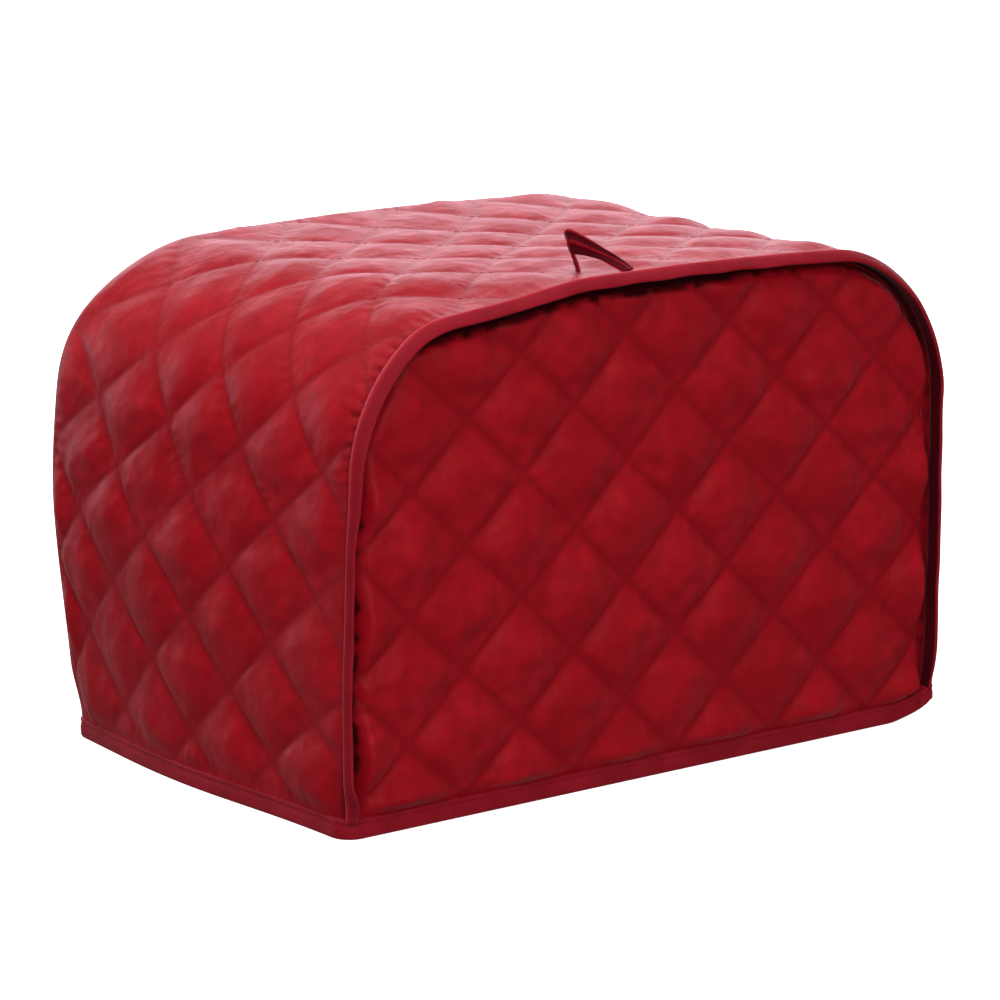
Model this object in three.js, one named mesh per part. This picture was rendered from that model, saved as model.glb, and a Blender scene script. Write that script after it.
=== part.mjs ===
// A quilted cloth cover for a two-slice toaster, standing on its hem.
// Millimetres, +Z up, +X along the width, the front face towards -Y.
// The origin is on the surface that it stands on, under the middle of the cover.
//
// One long wrap panel runs up the left side, over the top and down the right side.
// A front and a back panel close its ends. Folded tape binds the front seam as a flange that
// stands forward, the back seam as a flat border, and the whole lower edge as a hem.
// A loop of the same tape is sewn on at the top of the front seam.

import * as THREE from 'three';

// Driving dimensions
const WIDTH = 300; // over the side walls
const DEPTH = 192; // from the front seam to the back seam
const SHOULDER_HEIGHT = 202; // height of the seam over the shoulders
const CROWN = 6.3; // how much higher the middle of the top is than the shoulders
const SHOULDER_RADIUS = 59.4;
const CLOTH = 2; // the quilted cloth along a stitched line
const PUFF = 4.6; // how far the middle of a diamond rises above its stitched lines
const FRONT_BELLY = 3; // how far the front panel stands out between its edges
const BACK_BELLY = 1.5;
const DIAMOND_WIDTH = 52.4; // on the end panels
const DIAMOND_HEIGHT = 50;
const WRAP_DIAMOND_LENGTH = 50.2; // along the wrap, from one side to the other
const WRAP_DIAMOND_WIDTH = 50.3; // across the wrap, from front to back
const WRAP_TILT = 0.06; // how much the wrap's rows of diamonds climb towards the back
const SEAM_EASE = 11; // the filling rises to its full height this far from a seam
const GAP = 0.3; // left between pieces that are sewn together
const HEM_GAP = 0.5; // left over the hem tape, whose corner is lifted

const HEM_HEIGHT = 8;
const HEM_THICKNESS = 3.6;
const HEM_PROUD = 1; // how far the hem tape stands outside the walls
const HEM_CORNER = 9;
const HEM_EAR = 6; // how far the hem bulges round the flange's right foot
const HEM_EAR_REACH = 17; // from the corner, along the hem
const FLANGE_LENGTH = 7.3; // how far the front tape stands forward of the seam
const FLANGE_THICKNESS = 3;
const FLANGE_LEAN = 0.48; // radians outwards, up the left wall
const FLANGE_UPRIGHT = { from: 105, to: 185 }; // it leans less and less over these lengths of the seam
const FOOT_TURN = 0.75; // radians inwards, of the flange's left foot
const FOOT_DRAW = 0.35; // the share by which that foot is drawn back
const FOOT_HEIGHT = 30; // how far up the turned foot is felt
const BORDER_WIDTH = 8.5; // of the tape that lies on the back panel
const BORDER_THICKNESS = 2.4;
const FRONT_RIM = 2; // how far the front panel's rim lies behind the front seam
const BACK_RIM = 2.5; // how far the back panel's rim lies in front of the back seam, under its tape
const LOOP_THICKNESS = 1.6;

// How the soft cloth stands, in millimetres moved
const HEM_BOW = 6.5; // outwards, of the left side's hem
const WALL_BOW = 12; // outwards, of the left wall near the back seam
const SHOULDER_BOW = 4; // outwards, added just under the left shoulder
const LOWER_BOW = 2; // outwards, of the lower half of the left wall
const RIGHT_BOW = 1.5; // outwards, of the right wall
const BACK_BOW = 6; // backwards, of the middle of the back
const BACK_HEM_BOW = 3; // backwards, of the back's hem
const FRONT_BOW = 2; // forwards, of the middle of the front
const TOP_SAG = 2.5; // down, of the middle of the top
const CORNER_LIFT = 8; // up, of the front right corner of the hem
const CORNER_TUCK = 2; // inwards, of the panels where the hem tape turns a corner
const SHOULDER_DENT = 4.4; // down, of the front seam over the left shoulder
const FOOT_BOW = 1.5; // outwards, of the left wall's foot beside the front seam

// Where those moves are felt, in millimetres
const STILL_HALF = 40; // nothing moves sideways nearer than this to the middle
const BOW_START = 0.78; // the share of the depth over which the left wall's bow grows
const HEM_BOW_AT = { y: 15, half: 110 };
const SHOULDER_BOW_AT = { z: 182, half: 40 };
const LOWER_BOW_TO = { z: 95, fade: 55 };
const FOOT_BOW_TO = { z: 60, fade: 40 };
const SAG_AT = { x: 30, y: 10, halfX: 170, halfY: 110, fromZ: 150, fade: 50 };
const LIFT_AT = { x: 128, rampX: 20, y: -20, rampY: 70, height: 90 };
const DENT_AT = { x: -95, left: 30, right: 62, y: -40, rampY: 50 };

// Worked out from the driving dimensions
const HALF_WIDTH = WIDTH / 2;
const HALF_DEPTH = DEPTH / 2;
const WALL = SHOULDER_HEIGHT - SHOULDER_RADIUS; // the straight part of a side wall
const TOP = WIDTH - 2 * SHOULDER_RADIUS; // the straight part of the top
const TOP_HEIGHT = SHOULDER_HEIGHT + CROWN;
const ARC = (Math.PI / 2) * SHOULDER_RADIUS;
const WRAP_LENGTH = 2 * WALL + 2 * ARC + TOP;
const PANEL_FOOT = HEM_HEIGHT + HEM_GAP; // where the panels start, above the hem tape
const END_INSET = FLANGE_THICKNESS + GAP; // the end panels lie this far inside the wrap's outline

const clamp = (value) => Math.min(1, Math.max(0, value));
const smooth = (value) => clamp(value) ** 2 * (3 - 2 * clamp(value));
const arch = (value) => Math.sin(Math.PI * clamp(value)); // up from 0 and down again at 1
const bump = (value) => Math.cos((Math.PI / 2) * Math.min(1, Math.abs(value))) ** 2; // 1 at 0, 0 at 1

// Materials

function cloth(color, roughness) {
  return new THREE.MeshStandardMaterial({ color, roughness, metalness: 0, side: THREE.DoubleSide });
}

const quiltedCloth = cloth(0x8c1420, 0.5);
const bindingTape = cloth(0x8a2433, 0.6);

// Shape of the cover

/** The point of the wrap's outline at a length along it, from the left foot over to the right. */
function outlinePoint(length) {
  const mirrored = length > WRAP_LENGTH / 2;
  const along = mirrored ? WRAP_LENGTH - length : length;
  let x = -HALF_WIDTH;
  let z = along;
  if (along > WALL && along <= WALL + ARC) {
    const turn = (along - WALL) / SHOULDER_RADIUS;
    x = -HALF_WIDTH + SHOULDER_RADIUS * (1 - Math.cos(turn));
    z = WALL + SHOULDER_RADIUS * Math.sin(turn);
  } else if (along > WALL + ARC) {
    x = -HALF_WIDTH + SHOULDER_RADIUS + along - WALL - ARC;
    z = SHOULDER_HEIGHT;
  }
  const raised = z + CROWN * (1 - (x / HALF_WIDTH) ** 2) * (z / SHOULDER_HEIGHT) ** 2;
  return new THREE.Vector2(mirrored ? -x : x, raised);
}

/** The outline moved outwards by `out`, square to itself. */
function offsetOutline(length, out) {
  const step = 0.5;
  const before = outlinePoint(Math.max(0, length - step));
  const after = outlinePoint(Math.min(WRAP_LENGTH, length + step));
  const along = after.sub(before).normalize();
  const point = outlinePoint(length);
  return new THREE.Vector2(point.x - along.y * out, point.y + along.x * out);
}

/** Moves a point to where the soft cloth stands: walls bow out, the top sags, a corner is lifted. */
function settle({ x, y, z }) {
  const nearLeft = smooth((-x - STILL_HALF) / (HALF_WIDTH - STILL_HALF));
  const nearRight = smooth((x - STILL_HALF) / (HALF_WIDTH - STILL_HALF));
  const nearBack = smooth(y / HALF_DEPTH);
  const nearFront = smooth(-y / HALF_DEPTH);
  const nearHem = clamp(1 - z / SHOULDER_HEIGHT) ** 2;
  const awayFromFront = smooth((y + HALF_DEPTH) / (BOW_START * DEPTH));
  const awayFromSides = Math.sqrt(bump(x / HALF_WIDTH));

  const hemBow = HEM_BOW * nearHem * bump((y - HEM_BOW_AT.y) / HEM_BOW_AT.half);
  const underShoulder = SHOULDER_BOW * bump((z - SHOULDER_BOW_AT.z) / SHOULDER_BOW_AT.half);
  const wallBow = awayFromFront * (WALL_BOW * arch((z / TOP_HEIGHT) ** 1.35) + underShoulder);
  const lowerBow = LOWER_BOW * (1 - smooth((z - LOWER_BOW_TO.z) / LOWER_BOW_TO.fade));
  const footBow = FOOT_BOW * nearFront ** 2 * (1 - smooth((z - FOOT_BOW_TO.z) / FOOT_BOW_TO.fade));
  const outLeft = nearLeft * (hemBow + wallBow + lowerBow + footBow);
  const outRight = nearRight * (0.5 * hemBow + 0.6 * wallBow + RIGHT_BOW * arch(z / SHOULDER_HEIGHT));

  const middleBow = arch(z / SHOULDER_HEIGHT) * awayFromSides;
  const outBack = nearBack * (BACK_HEM_BOW * nearHem + BACK_BOW * middleBow);
  const outFront = nearFront * FRONT_BOW * middleBow;

  const onTop = smooth((z - SAG_AT.fromZ) / SAG_AT.fade);
  const sag = TOP_SAG * onTop * bump((x - SAG_AT.x) / SAG_AT.halfX) * bump((y - SAG_AT.y) / SAG_AT.halfY);
  const atShoulder = bump((x - DENT_AT.x) / (x < DENT_AT.x ? DENT_AT.left : DENT_AT.right));
  const dent = SHOULDER_DENT * onTop * atShoulder * smooth((DENT_AT.y - y) / DENT_AT.rampY);
  const atCorner = clamp((x - LIFT_AT.x) / LIFT_AT.rampX) ** 2 * smooth((LIFT_AT.y - y) / LIFT_AT.rampY);
  const lift = CORNER_LIFT * atCorner * clamp(1 - z / LIFT_AT.height) ** 2;
  return new THREE.Vector3(x - outLeft + outRight, y + outBack - outFront, z + lift - sag - dent);
}

/** How far a lower corner is drawn in: fully at the left, and little at the right. */
const footing = (x) => (x < 0 ? 1 : 0.3);

/** Draws the lower corners of the panels in, to where the hem tape turns the corner. */
function tuckCorner(point) {
  const fromCorner = Math.hypot(HALF_WIDTH - Math.abs(point.x), HALF_DEPTH - Math.abs(point.y));
  const nearCorner = smooth(1 - fromCorner / (2 * HEM_HEIGHT));
  const nearHem = smooth(1 - (point.z - HEM_HEIGHT) / (3 * HEM_HEIGHT));
  const pull = CORNER_TUCK * footing(point.x) * nearCorner * nearHem;
  point.x -= Math.sign(point.x) * pull;
  point.y -= Math.sign(point.y) * pull;
  return point;
}

/** The height of a diamond's filling at a place, measured from a crossing of the stitched lines. */
function puff(along, across, length, width) {
  const first = along / length + across / width;
  const second = along / length - across / width;
  const roundness = 0.6; // 1 would be a sine wave, and less is fuller
  return PUFF * Math.abs(Math.sin(Math.PI * first) * Math.sin(Math.PI * second)) ** roundness;
}

// Closed bodies from points

/** A mesh with its faces pointing out, from a list of points and triangles of their indices. */
function closedMesh(name, points, triangles, material) {
  const shaped = points.map(settle);
  let volume = 0;
  for (const [a, b, c] of triangles) {
    volume += shaped[a].dot(new THREE.Vector3().crossVectors(shaped[b], shaped[c]));
  }
  const faces = volume < 0 ? triangles.map(([a, b, c]) => [a, c, b]) : triangles;
  const geometry = new THREE.BufferGeometry();
  geometry.setAttribute(
    'position',
    new THREE.Float32BufferAttribute(shaped.flatMap((point) => point.toArray()), 3),
  );
  geometry.setIndex(faces.flat());
  geometry.computeVertexNormals();
  const mesh = new THREE.Mesh(geometry, material);
  mesh.name = name;
  return mesh;
}

/**
 * Places from `from` to `to`: every `step` from `crossing`, so that the stitched lines run through
 * them, and two more close to each end. Their number less one is a multiple of `even`.
 */
function places(from, to, step, crossing, even) {
  const edge = 3.5;
  const result = [from, from + edge];
  const first = Math.ceil((from + 2 * edge - crossing) / step);
  const last = Math.floor((to - 2 * edge - crossing) / step);
  for (let k = first; k <= last; k += 1) result.push(crossing + k * step);
  while ((result.length + 1) % even) result.push((result.at(-1) + to - edge) / 2);
  result.push(to - edge, to);
  return result;
}

/**
 * A closed sheet. `outer(i, j)` gives its outer skin at every row and column, with `filling(i, j)`
 * the height of its filling. `inner(i, j)` gives the plainer inner skin, at every `skip[0]`th row
 * and `skip[1]`th column. A rim joins the two.
 */
function sheet(name, [rows, columns], skip, { filling, outer, inner }) {
  const points = [];
  const triangles = [];
  const [skipRows, skipColumns] = skip;
  const outerIndex = (i, j) => i * (columns + 1) + j;
  for (let i = 0; i <= rows; i += 1) {
    for (let j = 0; j <= columns; j += 1) points.push(outer(i, j));
  }
  const innerStart = points.length;
  const innerRow = columns / skipColumns + 1;
  const innerIndex = (i, j) => innerStart + (i / skipRows) * innerRow + j / skipColumns;
  for (let i = 0; i <= rows; i += skipRows) {
    for (let j = 0; j <= columns; j += skipColumns) points.push(inner(i, j));
  }
  for (let i = 0; i < rows; i += 1) {
    for (let j = 0; j < columns; j += 1) {
      const [a, b] = [outerIndex(i, j), outerIndex(i + 1, j)];
      const [c, d] = [outerIndex(i + 1, j + 1), outerIndex(i, j + 1)];
      // The face is folded on its lower diagonal, which lies in a stitched line.
      const rising = filling(i, j) + filling(i + 1, j + 1);
      const falling = filling(i + 1, j) + filling(i, j + 1);
      if (rising <= falling) triangles.push([a, b, c], [a, c, d]);
      else triangles.push([a, b, d], [b, c, d]);
    }
  }
  for (let i = 0; i < rows; i += skipRows) {
    for (let j = 0; j < columns; j += skipColumns) {
      const [a, b] = [innerIndex(i, j), innerIndex(i + skipRows, j)];
      const [c, d] = [innerIndex(i + skipRows, j + skipColumns), innerIndex(i, j + skipColumns)];
      triangles.push([a, c, b], [a, d, c]);
    }
  }
  /** Joins one side of the two skins, from corner to corner: `at(k)` is its `k`th row and column. */
  const joinSide = (count, skipSide, at) => {
    for (let k = 0; k < count; k += skipSide) {
      const start = innerIndex(...at(k));
      const end = innerIndex(...at(k + skipSide));
      const half = Math.ceil(skipSide / 2);
      for (let m = 0; m < skipSide; m += 1) {
        const pair = [outerIndex(...at(k + m + 1)), outerIndex(...at(k + m))];
        triangles.push([...pair, m < half ? start : end]);
      }
      triangles.push([end, outerIndex(...at(k + half)), start]);
    }
  };
  joinSide(rows, skipRows, (k) => [k, 0]);
  joinSide(columns, skipColumns, (k) => [rows, k]);
  joinSide(rows, skipRows, (k) => [rows - k, columns]);
  joinSide(columns, skipColumns, (k) => [0, columns - k]);
  return closedMesh(name, points, triangles, quiltedCloth);
}

/** A closed body swept through `sections`, each a ring of points; a ring of sections if `joined`. */
function sweep(name, sections, joined, material) {
  const sides = sections[0].length;
  const points = sections.flat();
  const triangles = [];
  const spans = joined ? sections.length : sections.length - 1;
  for (let i = 0; i < spans; i += 1) {
    const here = i * sides;
    const next = ((i + 1) % sections.length) * sides;
    for (let k = 0; k < sides; k += 1) {
      const after = (k + 1) % sides;
      triangles.push([here + k, next + k, next + after], [here + k, next + after, here + after]);
    }
  }
  if (!joined) {
    const last = (sections.length - 1) * sides;
    for (let k = 1; k < sides - 1; k += 1) {
      triangles.push([0, k, k + 1], [last, last + k + 1, last + k]);
    }
  }
  return closedMesh(name, points, triangles, material);
}

// The wrap panel

const WRAP_CROSSING = { along: 173.2, across: -5 }; // two stitched lines cross here, on the left shoulder
const LOOP_FEET = [
  { x: -12.2, y: -93.4 },
  { x: -26.5, y: -79.4 },
];
const SEWN_DOWN = { flat: 12, fade: 14 }; // the filling is pressed flat this far round a foot of the loop
const SHOULDER_PULL = { from: 95, to: 172 }; // lengths of the wrap over which its diamonds move forward
const WALL_SHIFT = 7; // backwards, of the diamonds on the walls
const TOP_SHIFT = 6; // forwards, of the diamonds on the top
const TOP_SHRINK = 0.12; // the share by which the top's diamonds draw together

/** How far the filling may rise: nothing at the edges, and little where the loop is sewn on. */
function wrapFullness(along, across) {
  const fromSeam = HALF_DEPTH - Math.abs(across);
  const fromHem = Math.min(along, WRAP_LENGTH - along) - PANEL_FOOT;
  const { x, y: z } = outlinePoint(along);
  let sewnDown = 1;
  for (const foot of LOOP_FEET) {
    const away = z > WALL ? Math.hypot(x - foot.x, across - foot.y) : WIDTH;
    sewnDown = Math.min(sewnDown, smooth((away - SEWN_DOWN.flat) / SEWN_DOWN.fade));
  }
  return smooth(fromSeam / SEAM_EASE) * smooth(fromHem / SEAM_EASE) * sewnDown;
}

/**
 * Where a place of the quilting pattern comes to lie on the wrap. The rows climb a little towards
 * the back, and the diamonds move forward and draw together from the wall to the shoulder.
 */
function quiltedPlace(along, across) {
  const inside = 1 - (across / HALF_DEPTH) ** 4;
  const fromHem = Math.min(along, WRAP_LENGTH - along);
  const { from, to } = SHOULDER_PULL;
  const onTop = smooth((fromHem - from) / (to - from));
  const shift = WALL_SHIFT - (WALL_SHIFT + TOP_SHIFT + TOP_SHRINK * across) * onTop;
  const moved = across + inside * shift;
  const climb = WRAP_TILT * moved * smooth((fromHem - PANEL_FOOT) / SHOULDER_RADIUS);
  return { along: along + climb, across: moved };
}

function wrapPoint(along, across, out) {
  const flat = offsetOutline(along, out);
  return tuckCorner(new THREE.Vector3(flat.x, across, flat.y));
}

function wrapPanel() {
  const [far, step] = [WRAP_LENGTH - PANEL_FOOT, WRAP_DIAMOND_LENGTH / 4];
  const rows = places(PANEL_FOOT, far, step, WRAP_CROSSING.along, 1);
  const columns = places(-HALF_DEPTH, HALF_DEPTH, WRAP_DIAMOND_WIDTH / 4, WRAP_CROSSING.across, 2);
  const place = (i, j) => quiltedPlace(rows[i], columns[j]);
  const filling = (i, j) => {
    const fromCrossing = [rows[i] - WRAP_CROSSING.along, columns[j] - WRAP_CROSSING.across];
    const { along, across } = place(i, j);
    return wrapFullness(along, across) * puff(...fromCrossing, WRAP_DIAMOND_LENGTH, WRAP_DIAMOND_WIDTH);
  };
  const at = ({ along, across }, out) => wrapPoint(along, across, out);
  return sheet('wrap_panel', [rows.length - 1, columns.length - 1], [1, 2], {
    filling,
    outer: (i, j) => at(place(i, j), filling(i, j)),
    inner: (i, j) => at(place(i, j), -CLOTH),
  });
}

// The end panels

const FRONT_CROSSING = { x: 9.7, z: 109.6 }; // two stitched lines cross here, near the middle

/** How far a place on an end panel is inside the panel's edge. */
function insideEnd(x, z) {
  const half = HALF_WIDTH - END_INSET;
  const crown = CROWN * (1 - (x / HALF_WIDTH) ** 2) * clamp(z / SHOULDER_HEIGHT) ** 2;
  const top = SHOULDER_HEIGHT - END_INSET + crown;
  const radius = SHOULDER_RADIUS - END_INSET;
  const past = Math.max(0, Math.abs(x) - half + radius);
  const over = Math.max(0, z - top + radius);
  const rounded = radius - Math.hypot(past, over);
  const straight = Math.min(half - Math.abs(x), top - z);
  const fromEdge = past > 0 && over > 0 ? rounded : straight;
  return Math.min(fromEdge, z - PANEL_FOOT);
}

/** The height of an end panel's upper edge at a place across it. */
function endTop(x) {
  const crown = CROWN * (1 - (x / HALF_WIDTH) ** 2);
  const radius = SHOULDER_RADIUS - END_INSET;
  const past = Math.max(0, Math.abs(x) - HALF_WIDTH + END_INSET + radius);
  const drop = radius - Math.sqrt(Math.max(0, radius ** 2 - past ** 2));
  return SHOULDER_HEIGHT - END_INSET - drop + crown * (1 - drop / SHOULDER_HEIGHT) ** 2;
}

/**
 * An end panel. `side` is -1 at the front and 1 at the back, and `parts` the faces across a diamond.
 * `rim` is how far its rim lies within the seam, `bare` how wide its flat border is, and `belly` how
 * far it stands out between its edges.
 */
function endPanel(name, { side, parts, rim, bare, belly }) {
  const half = HALF_WIDTH - END_INSET;
  const edge = 0.9; // a narrow row of faces down each side, where the rim turns in
  const across = places(-half, half, DIAMOND_WIDTH / parts, FRONT_CROSSING.x, 2);
  across.splice(1, 0, -half + edge);
  across.splice(-1, 0, half - edge);
  const up = places(PANEL_FOOT, endTop(0), DIAMOND_HEIGHT / parts, FRONT_CROSSING.z, 2);
  const place = (i, j) => {
    const x = across[i];
    const shoulder = (endTop(x) - PANEL_FOOT) / (endTop(0) - PANEL_FOOT);
    const squeeze = shoulder < 0.97 ? 1 : smooth((up[j] - DIAMOND_HEIGHT) / (endTop(0) - DIAMOND_HEIGHT));
    const lowered = (up[j] - PANEL_FOOT) * (1 - shoulder);
    return { x, z: up[j] - squeeze * lowered };
  };
  const at = ({ x, z }, depth) => tuckCorner(new THREE.Vector3(x, side * depth, z));
  const filling = (i, j) => {
    const { x, z } = place(i, j);
    const height = puff(x - FRONT_CROSSING.x, z - FRONT_CROSSING.z, DIAMOND_WIDTH, DIAMOND_HEIGHT);
    return smooth((insideEnd(x, z) - bare) / SEAM_EASE) * (belly + height);
  };
  return sheet(name, [across.length - 1, up.length - 1], [2, 2], {
    filling,
    outer: (i, j) => at(place(i, j), HALF_DEPTH - rim + filling(i, j)),
    inner: (i, j) => at(place(i, j), HALF_DEPTH - rim - CLOTH),
  });
}

// The tapes

const TAPE_STEP = 13;
const HEM_STEP = 11;

/** Lengths along the outline at which the tape's section is set, from hem to hem. */
function tapePlaces() {
  return places(PANEL_FOOT, WRAP_LENGTH - PANEL_FOOT, TAPE_STEP, WRAP_LENGTH / 2, 1);
}

/**
 * The tape on the front seam is folded round the raw edges and stands forward as a flange.
 * A row is a point of its section: how far out from the outline, and how far forward of the seam.
 */
const FLANGE_SECTION = [
  { out: 0, forward: GAP },
  { out: 0.5, forward: 1.6 },
  { out: 0.1, forward: 2.6 },
  { out: 0.5, forward: 4.2 },
  { out: 0.2, forward: FLANGE_LENGTH - 0.8 },
  { out: -0.9, forward: FLANGE_LENGTH },
  { out: -2.1, forward: FLANGE_LENGTH },
  { out: -FLANGE_THICKNESS, forward: FLANGE_LENGTH - 0.9 },
  { out: -FLANGE_THICKNESS, forward: GAP },
];

function frontBinding() {
  const sections = tapePlaces().map((length) => {
    const caught = smooth(1 - (length - PANEL_FOOT) / FOOT_HEIGHT); // only the left foot is turned in
    const { from, to } = FLANGE_UPRIGHT;
    const lean = FLANGE_LEAN * smooth((to - length) / (to - from)) * (1 - caught);
    const turn = FOOT_TURN * caught - lean;
    const reach = 1 - FOOT_DRAW * caught;
    return FLANGE_SECTION.map(({ out, forward }) => {
      const beyond = (forward - GAP) * reach;
      const flat = offsetOutline(length, out * Math.cos(turn) - beyond * Math.sin(turn));
      const ahead = GAP + beyond * Math.cos(turn) - Math.min(0, out) * Math.max(0, Math.sin(turn)) * 0.4;
      return tuckCorner(new THREE.Vector3(flat.x, -HALF_DEPTH - ahead, flat.y));
    });
  });
  return sweep('front_binding', sections, false, bindingTape);
}

/** The tape on the back seam is pressed flat over the edge of the back panel. */
function backBinding() {
  const section = [
    { out: 0.3, behind: GAP },
    { out: 0.1, behind: BORDER_THICKNESS * 0.7 },
    { out: -0.8, behind: BORDER_THICKNESS },
    { out: -BORDER_WIDTH + 0.6, behind: BORDER_THICKNESS },
    { out: -BORDER_WIDTH, behind: BORDER_THICKNESS * 0.7 },
    { out: -BORDER_WIDTH, behind: GAP },
  ];
  const sections = tapePlaces().map((length) =>
    section.map(({ out, behind }) => {
      const flat = offsetOutline(length, out);
      return tuckCorner(new THREE.Vector3(flat.x, HALF_DEPTH + behind, flat.y));
    }),
  );
  return sweep('back_binding', sections, false, bindingTape);
}

/** The hem tape, folded round the lower edge of all the panels: a ring with rounded corners. */
function hemBinding() {
  const half = new THREE.Vector2(HALF_WIDTH + HEM_PROUD, HALF_DEPTH + HEM_PROUD);
  const corner = HEM_CORNER;
  const cornerSteps = 5;
  const stops = [];
  const quarter = Math.PI / 2;
  const signs = [[1, -1], [1, 1], [-1, 1], [-1, -1]];
  signs.forEach(([sx, sy], k) => {
    const centre = new THREE.Vector2(sx * (half.x - corner), sy * (half.y - corner));
    for (let i = 0; i <= cornerSteps; i += 1) {
      const angle = (k - 1 + i / cornerSteps) * quarter;
      const out = new THREE.Vector2(Math.cos(angle), Math.sin(angle));
      stops.push({ foot: centre.clone().addScaledVector(out, corner), out });
    }
    const [nx, ny] = signs[(k + 1) % signs.length];
    const next = new THREE.Vector2(nx * (half.x - corner), ny * (half.y - corner));
    const out = new THREE.Vector2(Math.cos(k * quarter), Math.sin(k * quarter));
    const start = centre.clone().addScaledVector(out, corner);
    const end = next.addScaledVector(out, corner);
    const count = Math.round(start.distanceTo(end) / HEM_STEP);
    for (let i = 1; i < count; i += 1) stops.push({ foot: start.clone().lerp(end, i / count), out });
  });
  const section = [
    { inwards: 0.5, up: 0 },
    { inwards: 0, up: 0.7 },
    { inwards: 0.1, up: HEM_HEIGHT - 1 },
    { inwards: 0.6, up: HEM_HEIGHT },
    { inwards: HEM_THICKNESS - 0.4, up: HEM_HEIGHT },
    { inwards: HEM_THICKNESS, up: 0.7 },
    { inwards: HEM_THICKNESS - 0.5, up: 0 },
  ];
  const flangeFoot = new THREE.Vector2(HALF_WIDTH, -HALF_DEPTH);
  const earWay = new THREE.Vector2(0.35, -0.94);
  for (const stop of stops) {
    const swell = HEM_EAR * bump(stop.foot.distanceTo(flangeFoot) / HEM_EAR_REACH);
    stop.foot.addScaledVector(earWay, swell);
  }
  const sections = stops.map(({ foot, out }) =>
    section.map(({ inwards, up }) => new THREE.Vector3(
      foot.x - out.x * inwards,
      foot.y - out.y * inwards,
      up,
    )),
  );
  return sweep('hem_binding', sections, true, bindingTape);
}

/**
 * The loop's two edges, from its right foot to its left one: x, y and the height above the top. It
 * rises from the seam on its face, stands up on edge, folds over and comes down seen edge-on.
 */
const LOOP_EDGES = [
  { front: [-15.5, -95, 0], back: [-8.8, -91.8, 0] },
  { front: [-19.8, -92.2, 2.9], back: [-14.2, -90, 6.2] },
  { front: [-23.3, -89, 5], back: [-21.7, -89.4, 11.3] },
  { front: [-27.6, -86.2, 6.7], back: [-28.4, -87.8, 15] },
  { front: [-30.6, -84.2, 7.4], back: [-33, -84.7, 17.4] },
  { front: [-31.7, -82.8, 7.6], back: [-34.5, -81.8, 17.8] },
  { front: [-30.9, -82.2, 5.7], back: [-30.9, -77, 14.6] },
  { front: [-29.5, -82.2, 3.2], back: [-27.2, -75.8, 8.5] },
  { front: [-28.7, -82.5, 0], back: [-24.2, -76.2, 0] },
];

function topLoop() {
  const ground = (x) => SHOULDER_HEIGHT + CROWN * (1 - (x / HALF_WIDTH) ** 2) + GAP + 0.2;
  const edge = (side) => new THREE.CatmullRomCurve3(LOOP_EDGES.map((place) => {
    const [x, y, up] = place[side];
    return new THREE.Vector3(x, y, ground(x) + up);
  }));
  const [front, back] = [edge('front'), edge('back')];
  const steps = 24;
  const sections = [];
  for (let i = 0; i <= steps; i += 1) {
    const [near, far] = [front.getPoint(i / steps), back.getPoint(i / steps)];
    const along = front.getTangent(i / steps).add(back.getTangent(i / steps));
    const thick = new THREE.Vector3().crossVectors(along, far.clone().sub(near)).normalize();
    const end = i === 0 || i === steps;
    sections.push([[near, -1], [far, -1], [far, 1], [near, 1]].map(([place, side]) => {
      const point = place.clone().addScaledVector(thick, (side * LOOP_THICKNESS) / 2);
      if (end) point.z = ground(point.x);
      return point;
    }));
  }
  return sweep('top_loop', sections, false, bindingTape);
}

const cover = new THREE.Group();
cover.name = 'toaster_cover';
cover.add(wrapPanel());
cover.add(endPanel('front_panel', { side: -1, parts: 6, rim: FRONT_RIM, bare: 0, belly: FRONT_BELLY }));
const backBare = BORDER_WIDTH - END_INSET;
cover.add(endPanel('back_panel', { side: 1, parts: 4, rim: BACK_RIM, bare: backBare, belly: BACK_BELLY }));
cover.add(frontBinding());
cover.add(backBinding());
cover.add(hemBinding());
cover.add(topLoop());

// The origin goes under the middle of the settled cover.
const middle = new THREE.Box3().setFromObject(cover).getCenter(new THREE.Vector3());
for (const piece of cover.children) piece.geometry.translate(-middle.x, -middle.y, 0);

export default cover;
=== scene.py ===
# %% [markdown]
# # A quilted toaster cover
# The cover stands on its hem: one long quilted strip goes up the left side, over the top and
# down the right side, two quilted panels close the ends, and folded tape finishes the edges.
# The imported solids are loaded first. They fix where every piece goes.

# %% Load the frame
import math

import bpy
import numpy as np
from mathutils import Matrix


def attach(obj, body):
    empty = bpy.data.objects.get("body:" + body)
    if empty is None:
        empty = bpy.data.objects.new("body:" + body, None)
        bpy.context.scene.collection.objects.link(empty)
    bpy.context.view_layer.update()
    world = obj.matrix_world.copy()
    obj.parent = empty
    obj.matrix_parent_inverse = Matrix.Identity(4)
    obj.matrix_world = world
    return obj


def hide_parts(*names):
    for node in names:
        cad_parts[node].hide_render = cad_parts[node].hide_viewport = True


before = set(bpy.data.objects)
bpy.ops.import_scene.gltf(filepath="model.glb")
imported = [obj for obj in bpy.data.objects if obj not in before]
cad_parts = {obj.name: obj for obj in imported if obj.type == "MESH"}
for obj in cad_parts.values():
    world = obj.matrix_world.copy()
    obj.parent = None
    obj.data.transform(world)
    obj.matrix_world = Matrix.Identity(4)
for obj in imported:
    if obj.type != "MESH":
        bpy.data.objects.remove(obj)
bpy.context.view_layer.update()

# %% [markdown]
# ## Sizes
# The cloth is drawn in millimetres, and the last step of every point is `settle`, which bows
# the soft walls out. The frame's origin is under the middle of the settled cover, so the
# drawing is moved by `MIDDLE`.

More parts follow.
